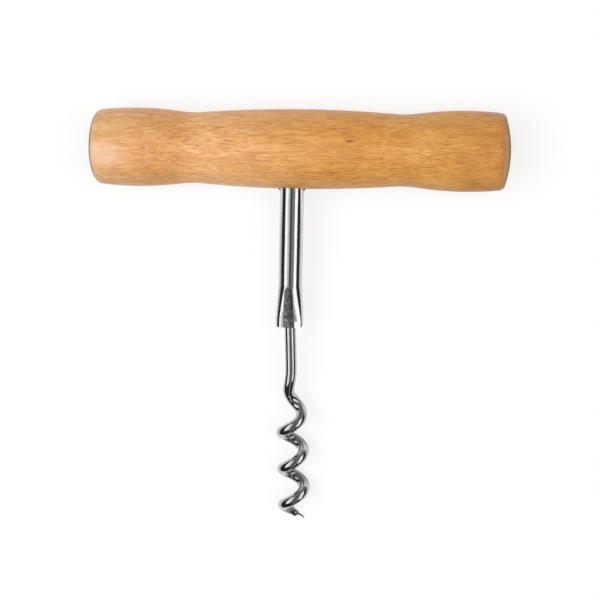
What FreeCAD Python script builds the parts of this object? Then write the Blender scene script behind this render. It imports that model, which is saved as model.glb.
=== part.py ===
"""A T-handle corkscrew that lies on a table: a turned wooden handle, a steel tube and a worm of steel wire.

Each piece is modelled upright. There X runs along the handle, the tube points down along -Z from the
handle's axis, and -Y is the front. Then the whole tool is laid on its back, with its front up.
Sizes are in millimetres and angles in degrees.
"""
import FreeCAD
import Part
import math
import os

V = FreeCAD.Vector
X_AXIS = V(1, 0, 0)
Y_AXIS = V(0, 1, 0)
UP = V(0, 0, 1)
DOWN = V(0, 0, -1)
ORIGIN = V(0, 0, 0)

# Handle, turned from one stick of wood
handle_length = 105.0
belly_diameter = 19.7        # at the middle
waist_drop = 1.03            # how much the radius loses from the belly to each waist
waist_offset = 26.2          # from the middle of the handle to each waist
hollow_radius = 26.0         # of the hollow in each waist
bulge_rise = 1.04            # how much the radius gains from each waist to the bulge beyond it
bulge_offset = 41.2          # from the middle of the handle to each bulge
end_dome = 1.6               # how far each end face swells out
end_round = 1.7              # where the side rounds over to the end face
bore_clearance = 0.03        # all round the tube, in its hole in the wood
bore_end_gap = 0.5           # between the tube's upper end and the bottom of that hole

# Tube, pressed up into the handle as far as its two stop lugs
shank_offset = 1.2           # from the middle of the handle to the tube, towards the left
shank_tilt = 1.25            # how far the tube leans to the left
tube_diameter = 6.0
tube_wall = 0.5
tube_rise = 5.0              # from the handle's axis up to the tube's upper end, inside the wood
tube_reach = 45.1            # from the handle's axis down to the tube's lower end
lug_reach = 0.5              # how far the two stop lugs stand out under the handle
lug_height = 0.7
lug_width = 1.6

# Crimp, where flat jaws squeeze the tube onto the wire
crimp_length = 11.0
crimp_width = 7.05           # across the squeezed end
crimp_land = 2.2             # the last stretch, squeezed evenly
facet_start = 1.9            # width of the flat that the jaws leave, at its upper end
coin_depth = 0.1             # how deep the tube bites into the wire, on each side
corner_round = 0.9           # of the two lower corners

# Worm, bent from one length of wire
wire_diameter = 2.9
worm_diameter = 8.4          # over the outside of the turns
worm_pitch = 9.9
worm_turns = 2.67            # from the end of the run-in to the point
worm_bend = 2.0              # how far the wire leans to the right of the tube's direction
worm_back = 1.9              # how far it leans back from that direction
wire_shift = 0.2             # from the middle of the tube's lower end to the wire
wire_inside = 15.0           # length of wire inside the tube
straight_length = 5.4        # from the tube's lower end to the run-in
run_in_length = 20.5         # height over which the straight wire winds up to the full turn
run_in_power = 5.3           # how late in the run-in the curl opens
run_in_stretch = 11.1        # height above the first full turn at which the pitch has doubled
start_angle = 85.0           # where the run-in ends, from the right round by the front
point_turn = 125.0           # how much of the last turn is ground to a point
heel_share = 0.61            # of the point, up to the notch before its fine tip
heel_diameter = 1.6          # what is left of the wire's lower side at the notch
spike_diameter = 0.6         # of the fine tip just after the notch
tip_diameter = 0.3
spike_drop = 0.4             # from the middle of the wire down to the start of the fine tip
tip_rise = 0.25              # from the middle of the wire up to its end
steps_per_turn = 24          # points of the wire's centreline in each turn

# Fineness of the work
same_place = 0.001           # edges closer than this are in the same place
facet_depth = 0.02           # of the facets that stand for the wire where it meets the table

tube_radius = tube_diameter / 2
bore_radius = tube_radius + bore_clearance
wire_radius = wire_diameter / 2
coil_radius = (worm_diameter - wire_diameter) / 2
belly_radius = belly_diameter / 2
waist_radius = belly_radius - waist_drop
bulge_radius = waist_radius + bulge_rise
crimp_thickness = wire_diameter - 2 * coin_depth + 2 * tube_wall
far = handle_length          # longer than any cut needs to be


def s_curve(top_x, top_r, low_x, low_r):
    """Two tangent arcs from a crest to a hollow, level at both ends, and the radius of the crest's arc."""
    run = low_x - top_x
    drop = top_r - low_r
    crest_radius = (run ** 2 + drop ** 2) / (2 * drop) - hollow_radius
    share = crest_radius / (crest_radius + hollow_radius)
    meet = V(top_x + share * run, 0, top_r - share * drop)
    half_turn = math.atan2(drop, abs(run))
    way = math.copysign(1, run)
    on_crest = V(top_x + way * crest_radius * math.sin(half_turn), 0,
                 top_r - crest_radius * (1 - math.cos(half_turn)))
    on_hollow = V(low_x - way * hollow_radius * math.sin(half_turn), 0,
                  low_r + hollow_radius * (1 - math.cos(half_turn)))
    crest = Part.Arc(V(top_x, 0, top_r), on_crest, meet)
    hollow = Part.Arc(meet, on_hollow, V(low_x, 0, low_r))
    return crest, hollow, crest_radius


def half_outline(rim_x):
    """The handle's outline from its middle to one end, in the XZ plane."""
    half_length = handle_length / 2
    belly, waist_in, _ = s_curve(0, belly_radius, waist_offset, waist_radius)
    bulge, waist_out, bulge_arc = s_curve(bulge_offset, bulge_radius, waist_offset, waist_radius)

    def on_bulge(x):
        return V(x, 0, bulge_radius - bulge_arc + math.sqrt(bulge_arc ** 2 - (x - bulge_offset) ** 2))

    rim = on_bulge(rim_x)
    end_side = Part.Arc(on_bulge(bulge_offset), on_bulge((bulge_offset + rim_x) / 2), rim)
    dome_radius = (rim.z ** 2 + end_dome ** 2) / (2 * end_dome)
    dome_centre = half_length - dome_radius
    on_dome = V(dome_centre + math.sqrt(dome_radius ** 2 - (rim.z / 2) ** 2), 0, rim.z / 2)
    dome = Part.Arc(rim, on_dome, V(half_length, 0, 0))
    return [arc.toShape() for arc in (belly, waist_in, waist_out, bulge, end_side, dome)]


def turned_half():
    """One half of the handle as a solid of revolution about X, with its end rounded."""
    half_length = handle_length / 2
    rim_x = half_length - end_dome
    axis = Part.LineSegment(V(half_length, 0, 0), ORIGIN).toShape()
    middle = Part.LineSegment(ORIGIN, V(0, 0, belly_radius)).toShape()
    outline = Part.Wire(Part.__sortEdges__(half_outline(rim_x) + [axis, middle]))
    solid = Part.Face(outline).revolve(ORIGIN, X_AXIS, 360)
    rim = [edge for edge in solid.Edges
           if abs(edge.BoundBox.XMin - rim_x) < same_place and abs(edge.BoundBox.XMax - rim_x) < same_place]
    return solid.makeFillet(end_round, rim)


def handle_blank():
    """The turned handle before it is bored, in its place beside the tube's axis."""
    right = turned_half()
    left = right.mirror(ORIGIN, X_AXIS)
    blank = right.fuse(left).removeSplitter()
    blank.translate(V(shank_offset, 0, 0))
    return blank


def lean(shape):
    """A shape made along -Z, turned to lie along the tube."""
    turned = shape.copy()
    turned.rotate(ORIGIN, Y_AXIS, shank_tilt)
    return turned


def handle_shape(blank):
    """The wooden handle, bored from below for the tube."""
    bore = Part.makeCylinder(bore_radius, far + tube_rise + bore_end_gap, V(0, 0, -far))
    return blank.cut(lean(bore))


def squeezed_outline(level, wall):
    """The crimp's even outline, two flats and two round sides, from the right side round by the back."""
    side = crimp_thickness / 2 - wall
    flat = (crimp_width - crimp_thickness) / 2
    corners = [V(flat, side, level), V(-flat, side, level), V(-flat, -side, level), V(flat, -side, level)]
    return Part.Wire([
        Part.Arc(corners[3], V(flat + side, 0, level), corners[0]).toShape(),
        Part.LineSegment(corners[0], corners[1]).toShape(),
        Part.Arc(corners[1], V(-flat - side, 0, level), corners[2]).toShape(),
        Part.LineSegment(corners[2], corners[3]).toShape(),
    ])


def round_outline(level, wall):
    """The round tube's outline, split where the flats begin, in the same order as the crimp's outline."""
    radius = tube_radius - wall
    half_flat = facet_start / 2 * radius / tube_radius
    side = math.sqrt(radius ** 2 - half_flat ** 2)
    corners = [V(half_flat, side, level), V(-half_flat, side, level),
               V(-half_flat, -side, level), V(half_flat, -side, level)]
    return Part.Wire([
        Part.Arc(corners[3], V(radius, 0, level), corners[0]).toShape(),
        Part.Arc(corners[0], V(0, radius, level), corners[1]).toShape(),
        Part.Arc(corners[1], V(-radius, 0, level), corners[2]).toShape(),
        Part.Arc(corners[2], V(0, -radius, level), corners[3]).toShape(),
    ])


def tube_filled(wall):
    """The tube's outside when wall is 0, or its bore when wall is the tube's wall."""
    radius = tube_radius - wall
    crimp_top = crimp_length - tube_reach
    land_top = crimp_land - tube_reach
    over = wall  # the bore is cut past both ends of the tube
    straight = Part.makeCylinder(radius, tube_rise + over - crimp_top, V(0, 0, crimp_top))
    closing = Part.makeLoft([round_outline(crimp_top, wall), squeezed_outline(land_top, wall)], True, True)
    land = Part.Face(squeezed_outline(land_top, wall)).extrude(V(0, 0, -crimp_land - over))
    return straight.fuse([closing, land])


def stop_lugs():
    """Two small wedges raised out of the tube's wall, widest where they meet the handle."""
    lugs = []
    for side in (-1, 1):
        inner = side * (tube_radius - tube_wall / 2)
        outer = side * (tube_radius + lug_reach)
        low = -belly_radius - lug_height
        corners = [V(inner, 0, low), V(outer, 0, -belly_radius), V(outer, 0, 0), V(inner, 0, 0)]
        wedge = Part.Face(Part.makePolygon(corners + corners[:1])).extrude(V(0, lug_width, 0))
        wedge.translate(V(0, -lug_width / 2, 0))
        lugs.append(wedge)
    return lugs


def corner_cutters():
    """What is ground off the two lower corners of the crimp, seen from the front."""
    cutters = []
    low = -tube_reach
    depth = V(0, crimp_width, 0)
    for side in (-1, 1):
        edge = side * crimp_width / 2
        start = V(edge - side * corner_round, -crimp_width / 2, low)
        end = V(edge, -crimp_width / 2, low + corner_round)
        turn = corner_round * math.sqrt(0.5)
        bend = V(edge - side * (corner_round - turn), -crimp_width / 2, low + corner_round - turn)
        outside = V(edge + side * corner_round, -crimp_width / 2, low + corner_round)
        below = V(edge + side * corner_round, -crimp_width / 2, low - corner_round)
        under = V(edge - side * corner_round, -crimp_width / 2, low - corner_round)
        straight = Part.makePolygon([end, outside, below, under, start]).Edges
        outline = Part.Wire([Part.Arc(start, bend, end).toShape()] + straight)
        cutters.append(Part.Face(outline).extrude(depth))
    return cutters


def tube_shape(blank):
    """The steel tube with its stop lugs and crimp."""
    lugs = [lug.cut(blank) for lug in map(lean, stop_lugs())]
    outside = lean(tube_filled(0).cut(corner_cutters()))
    return outside.fuse(lugs).cut(lean(tube_filled(tube_wall))).removeSplitter()


def on_coil(radius, angle, down):
    """A point of the coil. Its angle goes from the right round by the front, and down is below the tube."""
    a = math.radians(angle)
    return V(radius * math.cos(a), -radius * math.sin(a), -down)


def coil_points():
    """The wire's centreline from the start of the run-in to the tip."""
    full = straight_length + run_in_length
    points = []
    for i in range(steps_per_turn):
        above = run_in_length * (1 - i / steps_per_turn)
        radius = coil_radius * (1 - (above / run_in_length) ** 2) ** run_in_power
        turned = 360 * run_in_stretch / worm_pitch * math.log(1 + above / run_in_stretch)
        points.append(on_coil(radius, start_angle - turned, full - above))
    count = round(worm_turns * steps_per_turn)
    for i in range(count + 1):
        turns = worm_turns * i / count
        points.append(on_coil(coil_radius, start_angle + 360 * turns, full + worm_pitch * turns))
    return points


def point_rings(curve, start, end):
    """Rings of the ground point, which narrows evenly to a notch and from there as a fine tip."""
    rings = []
    count = round(point_turn / 360 * steps_per_turn) * 2
    heel = round(heel_share * count)
    for i in range(count + 1):
        if i <= heel:
            size = wire_diameter + (heel_diameter - wire_diameter) * i / heel
            height = size / 2 - wire_radius
        else:
            share = (i - heel) / (count - heel)
            size = spike_diameter + (tip_diameter - spike_diameter) * share
            height = (spike_drop + tip_rise) * share - spike_drop
        rings.append(ring_beside_wire(curve, start + (end - start) * i / count, size, height))
    return rings


def ring_beside_wire(curve, at, size, height):
    """A ring of this diameter across the wire's path, with its centre this far above the path."""
    along = curve.tangent(at)[0]
    upward = UP - along * UP.dot(along)
    upward.normalize()
    return Part.Wire(Part.makeCircle(size / 2, curve.value(at) + upward * height, along))


def worm_bar():
    """The wire with its straight end, run-in, turns and point, along -Z below the tube's end."""
    points = coil_points()
    curve = Part.BSplineCurve()
    curve.interpolate(Points=points, InitialTangent=DOWN, FinalTangent=points[-1] - points[-2])
    count = len(points) - 1
    point_steps = round(point_turn / 360 * steps_per_turn)
    split = curve.parameter(points[count - point_steps])
    turns = curve.copy()
    turns.segment(curve.FirstParameter, split)
    top = V(0, 0, wire_inside)
    straight = Part.LineSegment(top, points[0]).toShape()
    spine = Part.Wire([straight, turns.toShape()])
    start = Part.Wire(Part.makeCircle(wire_radius, top, DOWN))
    bar = spine.makePipeShell([start], True, False)
    tip = Part.makeLoft(point_rings(curve, split, curve.LastParameter), True, True)
    return bar.fuse(tip)


def worm_shape(tube):
    """The worm in its place, with the flats that the crimp presses into it."""
    worm = worm_bar()
    worm.rotate(ORIGIN, X_AXIS, worm_back)
    worm.rotate(ORIGIN, Y_AXIS, -worm_bend)
    worm.translate(V(wire_shift, 0, -tube_reach))
    return lean(worm).cut(tube)


def rest_dip(worm):
    """How far the tool tips down from the level handle until the worm touches the table."""
    dips = []
    for vertex in worm.tessellate(facet_depth)[0]:
        reach = math.hypot(vertex.y, vertex.z)
        if reach > bulge_radius:
            dips.append(math.asin(bulge_radius / reach) - math.atan2(vertex.y, -vertex.z))
    return math.degrees(min(dips))


def lay_down(shapes):
    """The tool laid on its back, centred over the table's origin."""
    dip = rest_dip(shapes["worm"])
    laid = {}
    for name, shape in shapes.items():
        laid[name] = shape.copy()
        laid[name].rotate(ORIGIN, X_AXIS, dip - 90)
    boxes = [shape.optimalBoundingBox(False, False) for shape in laid.values()]
    middle_x = (min(box.XMin for box in boxes) + max(box.XMax for box in boxes)) / 2
    middle_y = (min(box.YMin for box in boxes) + max(box.YMax for box in boxes)) / 2
    for shape in laid.values():
        shape.translate(V(-middle_x, -middle_y, bulge_radius))
    return laid


def main():
    os.makedirs("parts", exist_ok=True)
    blank = handle_blank()
    tube = tube_shape(blank)
    shapes = {"handle": handle_shape(blank), "shank_tube": tube, "worm": worm_shape(tube)}
    for name, shape in lay_down(shapes).items():
        box = shape.optimalBoundingBox(False, False)
        print(name, "solids", len(shape.Solids), "valid", shape.isValid(), "volume", round(shape.Volume, 2),
              [round(v, 3) for v in (box.XMin, box.XMax, box.YMin, box.YMax, box.ZMin, box.ZMax)])
        shape.exportStep(f"parts/{name}.step")


main()
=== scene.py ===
"""A T-handle corkscrew lying on its back, seen from above.

The scene is in metres. The materials work in millimetres on the tool as it lies, with its handle along X,
its worm towards -Y and its front up. What the metal reflects is placed by angles in degrees.
"""

import math

import bpy
from mathutils import Euler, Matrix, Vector


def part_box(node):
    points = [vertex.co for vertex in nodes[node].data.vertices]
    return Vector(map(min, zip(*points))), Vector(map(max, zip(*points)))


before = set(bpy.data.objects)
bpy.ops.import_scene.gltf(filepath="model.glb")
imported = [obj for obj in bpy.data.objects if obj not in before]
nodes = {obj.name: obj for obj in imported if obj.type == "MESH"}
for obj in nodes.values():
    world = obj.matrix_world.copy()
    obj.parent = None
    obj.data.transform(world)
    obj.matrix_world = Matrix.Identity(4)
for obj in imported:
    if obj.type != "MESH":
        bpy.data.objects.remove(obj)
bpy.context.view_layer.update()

# Camera, at the photograph's viewing angle
CAMERA_PLACE = (0.05869, 0.06201, 0.37907)
CAMERA_TURN = (-8.511, 8.962, 0.368)
LENS = 90.0
SENSOR = 36.0
CLIP = (0.01, 10)

# Lamps: name, place, side and watts
LAMPS = (
    ("soft_left", (-0.35, 0.0, 0.8), 0.7, 4.9),
    ("soft_right", (0.45, 0.06, 0.7), 0.5, 2.2),
)

# What the metal reflects: bands by their angle from straight up, across the tube, and their brightness
LEFT_BOX = (-53, -4)
LEFT_BOX_FADE = (-40, -8, 1.0, 0.3)      # the left soft box gets dimmer towards the middle
RIGHT_BOX = (41, 68)
BOX_LEVEL = 1.8
DARK_GAP = (-4, 14)
DARK_GAP_LEVEL = 0.065
GREY_MIDDLE = (14, 41)
GREY_MIDDLE_LEVEL = 0.27
NEAR = (-28, 42)                         # the boxes' reach, by the angle along the tube
BEYOND = (42, 88)                        # and a grey stretch beyond them
BEYOND_LEVEL = 0.25
ROOM_LEVEL = 0.035
EVEN_LEVEL = 0.47                        # the even light that isn't mirrored
BAND_EDGE = 2.5                          # half of the soft edge of a band
REACH_EDGE = 5                           # and of a stretch along the tube

# Floor
FLOOR_HALF = 3.0
FLOOR_TONE = 0.95
FLOOR_LIFT = 0.75                        # how far the floor is lifted to white where the camera sees it
FLOOR_LIFT_IN_METAL = 0.2
FLOOR_END_LEVEL = 0.02                   # the brightness of the dark beyond it, in the metal

# Places on the tool, in millimetres
MM = 1000.0
handle_low, handle_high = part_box("handle")
HANDLE_Y = (handle_low[1] + handle_high[1]) / 2 * MM
HANDLE_LEFT = handle_low[0] * MM
HANDLE_LENGTH = (handle_high[0] - handle_low[0]) * MM
TUBE_X = -1.2                            # of the tube's axis, where it meets the handle's axis
TUBE_LEAN = 0.0218                       # how far the tube goes to the left for each millimetre down
CRIMP_TOP = 34.2                         # from the handle's axis down to the start of the crimp
CRIMP_LENGTH = 10.9
LUG_EDGE = (2.98, 3.08)                  # from the tube's axis, where a lug stands out of the tube
LUG_END = (13.5, 12.0)                   # from the handle's axis down to just under the lugs
TONGUE_HALF = 0.97                       # half width of the dark tongue at its top
TONGUE_SPREAD = 0.58                     # and how much that grows down to the crimp's end
WING_WIDTH = 1.75                        # of the crimp's rolled right wing, beside the tongue
WING_SLOPE = -0.60                       # how steeply the wing falls beside the tongue
WING_CURVE = 0.275                       # and how soon it levels out
WORM_RISE = 0.047                        # of the line that the worm lies on, for each millimetre along Y
WORM_LINE = 2.5                          # its height at the middle of the tool
POINT_EDGES = ((-5.0, -3.4), (-47.6, -49.0), (6.5, 5.0))  # where the ground point starts, in X, Y and Z
END_GRAIN_RIGHT = (50.3, 51.7)           # where the end grain starts, from the handle's middle
END_GRAIN_LEFT = (-50.3, -51.1)
KNOT = (14.2, 2.5, 1.1, 0.19)            # place and half size of the dark fleck, from the handle's middle
PAINTED_HIGHLIGHT = (-48.0, -1.8, 5.5, 3.2)     # and of the painted highlight, a pale pink patch near the left end

# The wood's tones on screen, and where each lies along the handle, as a share of its length from the left end
PALE_PINK = (245, 198, 151)
DULL = (233, 172, 108)
BRIGHT = (246, 193, 137)
ORANGE = (227, 164, 88)
WARM = (228, 169, 92)
DEEP = (213, 151, 81)
WOOD_TONES = ((0.0, PALE_PINK), (0.21, DULL), (0.28, BRIGHT), (0.62, ORANGE), (0.80, WARM), (1.0, DEEP))
TONE_WANDER = 16.0                       # how far a colour strays along the handle, in millimetres

# The wood's noises: frequency along and across the grain, then scale, detail, roughness and distortion
WOOD_NOISES = {
    "wander": (0.05, 0.28, 1.0, 3.0, 0.6, 0.0),
    "mottle": (0.2, 0.33, 1.0, 3.0, 0.6, 0.4),
    "streaks": (0.07, 1.3, 1.0, 3.0, 0.6, 0.2),
    "fibres": (0.26, 6.0, 1.0, 3.0, 0.65, 0.0),
    "flecks": (0.22, 3.4, 1.3, 2.0, 0.6, 0.0),
    "crowd": (0.05, 0.12, 1.0, 2.0, 0.5, 0.0),
}


class Nodes:
    """A small helper that adds shader nodes and links them."""

    def __init__(self, tree):
        self.tree = tree

    def add(self, kind, **values):
        node = self.tree.nodes.new(kind)
        for key, value in values.items():
            setattr(node, key, value)
        return node

    def link(self, source, target):
        self.tree.links.new(source, target)

    def feed(self, socket, value):
        """Sets a socket to a number, colour or vector, or links it to another socket."""
        if isinstance(value, bpy.types.NodeSocket):
            self.link(value, socket)
        else:
            socket.default_value = value

    def math(self, operation, a, b=0.0, c=0.0, clamp=False):
        node = self.add("ShaderNodeMath", operation=operation, use_clamp=clamp)
        for socket, value in zip(node.inputs, (a, b, c)):
            self.feed(socket, value)
        return node.outputs[0]

    def product(self, first, *others):
        for other in others:
            first = self.math("MULTIPLY", first, other)
        return first

    def step(self, value, low, high, to_low=0.0, to_high=1.0):
        """A smooth step from to_low at low to to_high at high."""
        node = self.add("ShaderNodeMapRange", interpolation_type="SMOOTHSTEP")
        for name, number in zip(("Value", "From Min", "From Max", "To Min", "To Max"),
                                (value, low, high, to_low, to_high)):
            self.feed(node.inputs[name], number)
        return node.outputs[0]

    def between(self, value, band, edge):
        """1 inside the band and 0 outside it, with soft edges."""
        low, high = band
        rise = self.step(value, low - edge, low + edge)
        return self.product(rise, self.step(value, high - edge, high + edge, 1.0, 0.0))

    def spot(self, x, y, middle_x, middle_y, half_x, half_y):
        """The square of the distance from the middle of an oval, 1 on its outline."""
        off_x = self.math("DIVIDE", self.math("SUBTRACT", x, middle_x), half_x)
        off_y = self.math("DIVIDE", self.math("SUBTRACT", y, middle_y), half_y)
        return self.math("ADD", self.product(off_x, off_x), self.product(off_y, off_y))

    def mix(self, factor, a, b, blend="MIX"):
        node = self.add("ShaderNodeMix", data_type="RGBA", blend_type=blend)
        self.feed(node.inputs[0], factor)
        self.feed(node.inputs[6], a)
        self.feed(node.inputs[7], b)
        return node.outputs[2]

    def shade(self, factor, colour, tone):
        """The colour, multiplied by a tone as far as the factor says."""
        return self.mix(factor, colour, tone, "MULTIPLY")

    def blend(self, factor, first, second):
        """A shader between two others."""
        node = self.add("ShaderNodeMixShader")
        self.link(factor, node.inputs[0])
        self.link(first, node.inputs[1])
        self.link(second, node.inputs[2])
        return node.outputs[0]

    def glow(self, level):
        node = self.add("ShaderNodeEmission")
        node.inputs["Strength"].default_value = level
        return node.outputs[0]

    def noise(self, place, scale, detail=2.0, roughness=0.5, distortion=0.0):
        node = self.add("ShaderNodeTexNoise")
        self.feed(node.inputs["Vector"], place)
        for name, number in (("Scale", scale), ("Detail", detail), ("Roughness", roughness),
                             ("Distortion", distortion)):
            node.inputs[name].default_value = number
        return node.outputs["Fac"]

    def split(self, place):
        node = self.add("ShaderNodeSeparateXYZ")
        self.link(place, node.inputs[0])
        return node.outputs

    def scaled(self, place, factors):
        node = self.add("ShaderNodeVectorMath", operation="MULTIPLY")
        self.feed(node.inputs[0], place)
        self.feed(node.inputs[1], factors)
        return node.outputs["Vector"]

    def place(self):
        """The point's place on the tool, in millimetres."""
        return self.scaled(self.add("ShaderNodeTexCoord").outputs["Object"], (MM, MM, MM))

    def bump(self, height, distance, strength=1.0, normal=None):
        node = self.add("ShaderNodeBump")
        node.inputs["Strength"].default_value = strength
        node.inputs["Distance"].default_value = distance
        self.link(height, node.inputs["Height"])
        if normal is not None:
            self.link(normal, node.inputs["Normal"])
        return node.outputs[0]


def new_material(name):
    material = bpy.data.materials.new(name)
    material.use_nodes = True
    material.node_tree.nodes.clear()
    kit = Nodes(material.node_tree)
    shader = kit.add("ShaderNodeBsdfPrincipled")
    out = kit.add("ShaderNodeOutputMaterial")
    kit.link(shader.outputs[0], out.inputs["Surface"])
    return material, kit, shader


def rgb(red, green, blue):
    """A colour written as it looks on screen, from 0 to 255, as linear values."""
    shares = [level / 255 for level in (red, green, blue)]
    linear = [share / 12.92 if share <= 0.04045 else ((share + 0.055) / 1.055) ** 2.4 for share in shares]
    return (*linear, 1.0)


def tone_along(kit, share):
    """The wood's own colour, which changes slowly from one tone to the next."""
    ramp = kit.add("ShaderNodeValToRGB")
    kit.link(share, ramp.inputs[0])
    stops = ramp.color_ramp.elements
    for i, (where, tone) in enumerate(WOOD_TONES):
        stop = stops[i] if i < 2 else stops.new(where)
        stop.position = where
        stop.color = rgb(*tone)
    return ramp.outputs[0]


def end_grain(kit, place, x, z):
    """Where the end grain shows, and its colour, with painted shade: dark over the left end and low on the
    right one.
    """
    mask = kit.math("MAXIMUM", kit.step(x, *END_GRAIN_RIGHT), kit.step(x, *END_GRAIN_LEFT))
    rings = kit.noise(kit.scaled(place, (0.3, 0.45, 2.0)), 1.0, 3.0, 0.6, 0.6)
    clean = kit.mix(kit.step(rings, 0.4, 0.65), rgb(200, 148, 88), rgb(168, 118, 68))
    painted_end_shade = kit.mix(kit.step(rings, 0.35, 0.65), rgb(142, 103, 66), rgb(104, 74, 48))
    end_shade_mask = kit.math("MAXIMUM", kit.step(z, 16.5, 12.2), kit.step(x, 0, -1))
    return mask, kit.mix(end_shade_mask, clean, painted_end_shade)


def wood():
    """Lacquered wood with its grain along the handle, pale and pink at the left, orange at the right."""
    material, kit, shader = new_material("lacquered_wood")
    place = kit.place()
    x, y, z = kit.split(place)
    across = kit.math("SUBTRACT", y, HANDLE_Y)

    def grain(name):
        along, cross, *rest = WOOD_NOISES[name]
        return kit.noise(kit.scaled(place, (along, cross, cross)), *rest)

    stray = kit.math("MULTIPLY_ADD", grain("wander"), TONE_WANDER, -TONE_WANDER / 2)
    from_left = kit.math("SUBTRACT", kit.math("ADD", x, stray), HANDLE_LEFT)
    colour = tone_along(kit, kit.math("DIVIDE", from_left, HANDLE_LENGTH))

    mottle = grain("mottle")
    fibres = grain("fibres")
    crowd = kit.step(grain("crowd"), 0.40, 0.62, 0.4, 1.0)
    marks = kit.product(kit.step(grain("flecks"), 0.57, 0.67), crowd)
    for mask, amount, tone in (
        (kit.step(mottle, 0.62, 0.36), 0.6, rgb(236, 228, 214)),
        (kit.step(grain("streaks"), 0.44, 0.7), 0.55, rgb(233, 220, 200)),
        (kit.step(fibres, 0.42, 0.60), 1.0, rgb(229, 216, 197)),
        (marks, 0.9, rgb(204, 172, 132)),
    ):
        colour = kit.shade(kit.product(mask, amount), colour, tone)

    knot = kit.product(kit.step(kit.spot(x, across, *KNOT), 1.6, 0.4), kit.step(z, 12, 14))
    colour = kit.mix(kit.product(knot, 0.85), colour, rgb(96, 50, 22))
    # painted highlight: a pale pink patch near the left end, made ragged by the mottle
    painted_highlight = kit.math("ADD", kit.spot(x, across, *PAINTED_HIGHLIGHT), kit.math("MULTIPLY_ADD", mottle, 2.4, -1.2))
    painted_highlight = kit.product(kit.step(painted_highlight, 1.9, -0.3), kit.step(z, 11, 15))
    colour = kit.mix(kit.product(painted_highlight, 0.38), colour, rgb(250, 218, 192))
    # the end grain, with painted shade over the left end and low on the right end
    end, end_tone = end_grain(kit, place, x, z)
    colour = kit.mix(kit.product(end, 0.92), colour, end_tone)

    kit.link(colour, shader.inputs["Base Color"])
    satin = kit.step(mottle, 0.3, 0.7, 0.42, 0.54)
    kit.link(kit.math("MULTIPLY_ADD", end, 0.3, satin), shader.inputs["Roughness"])
    shader.inputs["Specular IOR Level"].default_value = 0.3
    shader.inputs["Coat Weight"].default_value = 0.2
    shader.inputs["Coat Roughness"].default_value = 0.3
    raised = kit.bump(fibres, 0.00002, 0.5)
    kit.link(kit.bump(marks, 0.00003, 0.4, raised), shader.inputs["Normal"])
    return material


def chrome(name):
    """Bright plating with fine wear. Also returns its colour, roughness and a normal with faint waves."""
    material, kit, shader = new_material(name)
    place = kit.place()
    waves = kit.noise(kit.scaled(place, (1.0, 0.35, 1.0)), 0.8, 2.0, 0.5)
    wear = kit.noise(kit.scaled(place, (3.0, 0.8, 3.0)), 1.0, 3.0, 0.6)
    tint = kit.mix(kit.step(wear, 0.35, 0.75), rgb(218, 218, 216), rgb(204, 204, 201))
    rough = kit.step(wear, 0.3, 0.8, 0.045, 0.12)
    shader.inputs["Metallic"].default_value = 1.0
    return material, kit, shader, place, tint, rough, kit.bump(waves, 0.00003, 0.3)


def wire_chrome():
    """The wire's plating, darker low down where its turns shade each other, and dull on the point."""
    material, kit, shader, place, tint, rough, normal = chrome("plated_wire")
    x, y, z = kit.split(place)
    plating = kit.shade(0.9, tint, rgb(232, 232, 231))
    height = kit.math("SUBTRACT", z, kit.math("MULTIPLY_ADD", y, WORM_RISE, WORM_LINE))
    plating = kit.shade(kit.step(height, 4.6, 2.6, 0.0, 0.8), plating, rgb(172, 172, 170))

    ground = kit.product(*(kit.step(value, *edge) for value, edge in zip((x, y, z), POINT_EDGES)))
    scratches = kit.noise(kit.scaled(place, (3.0, 3.0, 3.0)), 1.0, 2.0)
    steel = kit.mix(kit.step(scratches, 0.35, 0.65), rgb(112, 112, 110), rgb(150, 150, 147))
    kit.link(kit.mix(ground, plating, steel), shader.inputs["Base Color"])
    kit.link(kit.math("MULTIPLY_ADD", ground, 0.25, rough), shader.inputs["Roughness"])
    kit.link(normal, shader.inputs["Normal"])
    return material


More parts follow.
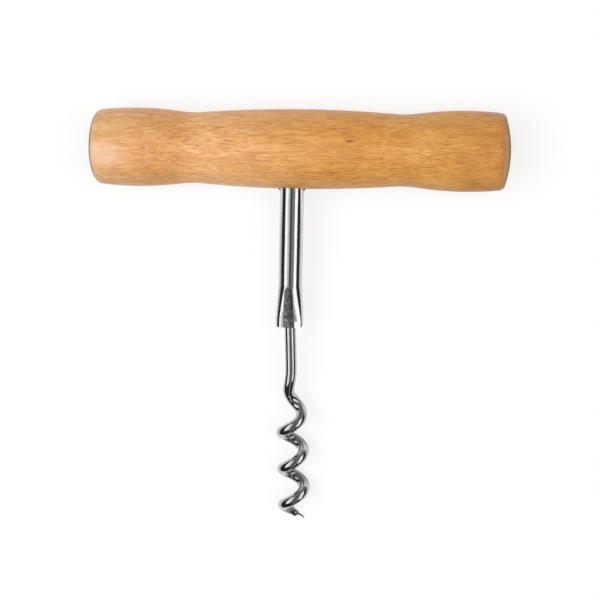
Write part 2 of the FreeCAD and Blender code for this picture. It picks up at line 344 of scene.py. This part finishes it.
def tube_chrome():
    """The tube's plating, bruised dark and rough in a tongue down the front of the crimp."""
    material, kit, shader, place, tint, rough, normal = chrome("plated_tube")
    x, y, _ = kit.split(place)
    down = kit.math("SUBTRACT", HANDLE_Y, y)
    aside = kit.math("ADD", x, kit.math("MULTIPLY_ADD", down, TUBE_LEAN, -TUBE_X))
    share = kit.math("DIVIDE", kit.math("SUBTRACT", down, CRIMP_TOP), CRIMP_LENGTH, clamp=True)

    # The tongue widens downwards and has a round top and ragged edges
    half = kit.math("MULTIPLY_ADD", share, TONGUE_SPREAD, TONGUE_HALF)
    crown = kit.math("POWER", kit.math("MULTIPLY", share, 8.0, clamp=True), 0.5)
    ragged = kit.math("MULTIPLY_ADD", kit.noise(place, 3.0, 3.0, 0.6), 0.3, -0.15)
    inset = kit.math("SUBTRACT", kit.product(half, crown), kit.math("ABSOLUTE", aside))
    tongue = kit.step(kit.math("ADD", inset, ragged), -0.08, 0.14)
    pits = kit.noise(kit.scaled(place, (2.6, 1.3, 2.6)), 1.0, 3.0, 0.7)
    bruise = kit.mix(kit.step(pits, 0.40, 0.60), rgb(98, 98, 98), rgb(220, 220, 217))
    bruise = kit.mix(kit.step(aside, -0.15, 0.35, 0.0, 0.75), bruise, rgb(104, 104, 104))
    strip = kit.product(kit.step(aside, -0.5, -0.25), kit.step(aside, 0.1, -0.15))
    bruise = kit.mix(kit.product(strip, 0.5), bruise, rgb(150, 150, 148))
    tint = kit.mix(tongue, tint, bruise)

    # painted shade: the lugs just under the handle are coloured dark
    lug_shade = kit.product(kit.step(kit.math("ABSOLUTE", aside), *LUG_EDGE), kit.step(down, *LUG_END))
    kit.link(kit.mix(lug_shade, tint, rgb(70, 68, 66)), shader.inputs["Base Color"])
    kit.link(kit.math("MULTIPLY_ADD", tongue, 0.36, rough), shader.inputs["Roughness"])

    # The right wing is rolled over the wire, steepest beside the tongue; its height is in millimetres
    wing = kit.math("MINIMUM", kit.math("MAXIMUM", kit.math("SUBTRACT", aside, half), 0.0), WING_WIDTH)
    roll = kit.product(kit.math("MULTIPLY_ADD", wing, WING_CURVE, WING_SLOPE), wing, share)
    rolled = kit.bump(roll, 1 / MM, 1.0, normal)
    kit.link(kit.bump(kit.product(pits, tongue), 0.00008, 0.8, rolled), shader.inputs["Normal"])
    return material


def dress():
    """Gives each node its material, and keeps the handle out of what the metal reflects."""
    for name, slot, material in (
        ("handle", "handle_wood", wood()),
        ("shank_tube", "tube_chrome", tube_chrome()),
        ("worm", "worm_chrome", wire_chrome()),
    ):
        node = nodes[name]
        node.data.materials.clear()
        node.data.materials.append(material)
    nodes["handle"].visible_glossy = False


def floor():
    """A plain pale floor, lifted part of the way to white. In the metal it darkens away from the tube."""
    half = FLOOR_HALF
    corners = [(-half, -half, 0), (half, -half, 0), (half, half, 0), (-half, half, 0)]
    mesh = bpy.data.meshes.new("floor")
    mesh.from_pydata(corners, [], [(0, 1, 2, 3)])
    obj = bpy.data.objects.new("floor", mesh)
    bpy.context.scene.collection.objects.link(obj)
    material, kit, shader = new_material("pale_floor")
    shader.inputs["Base Color"].default_value = (FLOOR_TONE, FLOOR_TONE, FLOOR_TONE, 1.0)
    shader.inputs["Roughness"].default_value = 0.9
    shader.inputs["Specular IOR Level"].default_value = 0.1

    path = kit.add("ShaderNodeLightPath")
    glossy = path.outputs["Is Glossy Ray"]
    seen = kit.math("MAXIMUM", path.outputs["Is Camera Ray"], path.outputs["Is Transmission Ray"])
    lift = kit.math("MULTIPLY_ADD", glossy, FLOOR_LIFT_IN_METAL, kit.product(seen, FLOOR_LIFT))
    lifted = kit.blend(lift, shader.outputs[0], kit.glow(1.0))

    x, y, _ = kit.split(kit.place())
    ended = kit.math("MAXIMUM", kit.step(x, 74, 80), kit.step(y, -76, -82))
    aside = kit.math("SUBTRACT", x, TUBE_X)
    fading = kit.math("ADD", kit.step(aside, 6, 48, 0.0, 0.85), kit.step(aside, -8, -52, 0.0, 0.58))
    dark = kit.math("MAXIMUM", ended, kit.product(fading, kit.step(y, 28, 18)))
    surface = kit.blend(kit.product(dark, glossy), lifted, kit.glow(FLOOR_END_LEVEL))
    kit.link(surface, material.node_tree.nodes["Material Output"].inputs["Surface"])
    mesh.materials.append(material)


def studio():
    """The world: even light, white to the camera, and to metal two soft boxes over a dark room."""
    world = bpy.data.worlds.new("studio")
    bpy.context.scene.world = world
    world.use_nodes = True
    world.node_tree.nodes.clear()
    kit = Nodes(world.node_tree)
    path = kit.add("ShaderNodeLightPath")
    glossy = path.outputs["Is Glossy Ray"]
    x, y, z = kit.split(kit.add("ShaderNodeTexCoord").outputs["Generated"])
    degree = 180 / math.pi
    across = kit.product(kit.math("ARCTAN2", x, z), degree)
    along = kit.product(kit.math("ARCSINE", y), degree)

    left = kit.product(kit.between(across, LEFT_BOX, BAND_EDGE), kit.step(across, *LEFT_BOX_FADE))
    near = kit.between(along, NEAR, REACH_EDGE)
    right = kit.product(kit.between(across, RIGHT_BOX, BAND_EDGE), near)
    boxes = kit.product(kit.math("ADD", kit.product(left, near), right), BOX_LEVEL)
    middle = kit.product(kit.between(across, GREY_MIDDLE, BAND_EDGE), GREY_MIDDLE_LEVEL)
    gap = kit.product(kit.between(across, DARK_GAP, BAND_EDGE), DARK_GAP_LEVEL)
    beyond = kit.product(kit.between(along, BEYOND, REACH_EDGE), BEYOND_LEVEL)
    room = kit.math("ADD", kit.math("MAXIMUM", kit.math("ADD", middle, gap), beyond), ROOM_LEVEL)

    even = kit.product(kit.math("SUBTRACT", 1.0, glossy), EVEN_LEVEL)
    level = kit.math("ADD", kit.product(glossy, kit.math("ADD", boxes, room)), even)
    white = kit.math("MAXIMUM", path.outputs["Is Camera Ray"], path.outputs["Is Transmission Ray"])
    background = kit.add("ShaderNodeBackground")
    kit.link(kit.math("MAXIMUM", level, white), background.inputs["Strength"])
    out = kit.add("ShaderNodeOutputWorld")
    kit.link(background.outputs[0], out.inputs["Surface"])


def lamp(name, place, side, power):
    """A square lamp that shines on the tool and isn't seen in the metal."""
    data = bpy.data.lights.new(name, "AREA")
    data.shape = "RECTANGLE"
    data.size = data.size_y = side
    data.energy = power
    obj = bpy.data.objects.new(name, data)
    obj.location = place
    obj.rotation_euler = (-Vector(place)).to_track_quat("-Z", "Y").to_euler()
    obj.visible_glossy = False
    bpy.context.scene.collection.objects.link(obj)


def camera():
    data = bpy.data.cameras.new("camera")
    data.lens = LENS
    data.sensor_fit = "HORIZONTAL"
    data.sensor_width = SENSOR
    data.clip_start, data.clip_end = CLIP
    obj = bpy.data.objects.new("camera", data)
    obj.location = CAMERA_PLACE
    obj.rotation_euler = Euler([math.radians(a) for a in CAMERA_TURN])
    bpy.context.scene.collection.objects.link(obj)
    bpy.context.scene.camera = obj


dress()
floor()
studio()
for values in LAMPS:
    lamp(*values)
camera()
bpy.context.scene.view_settings.view_transform = "Standard"
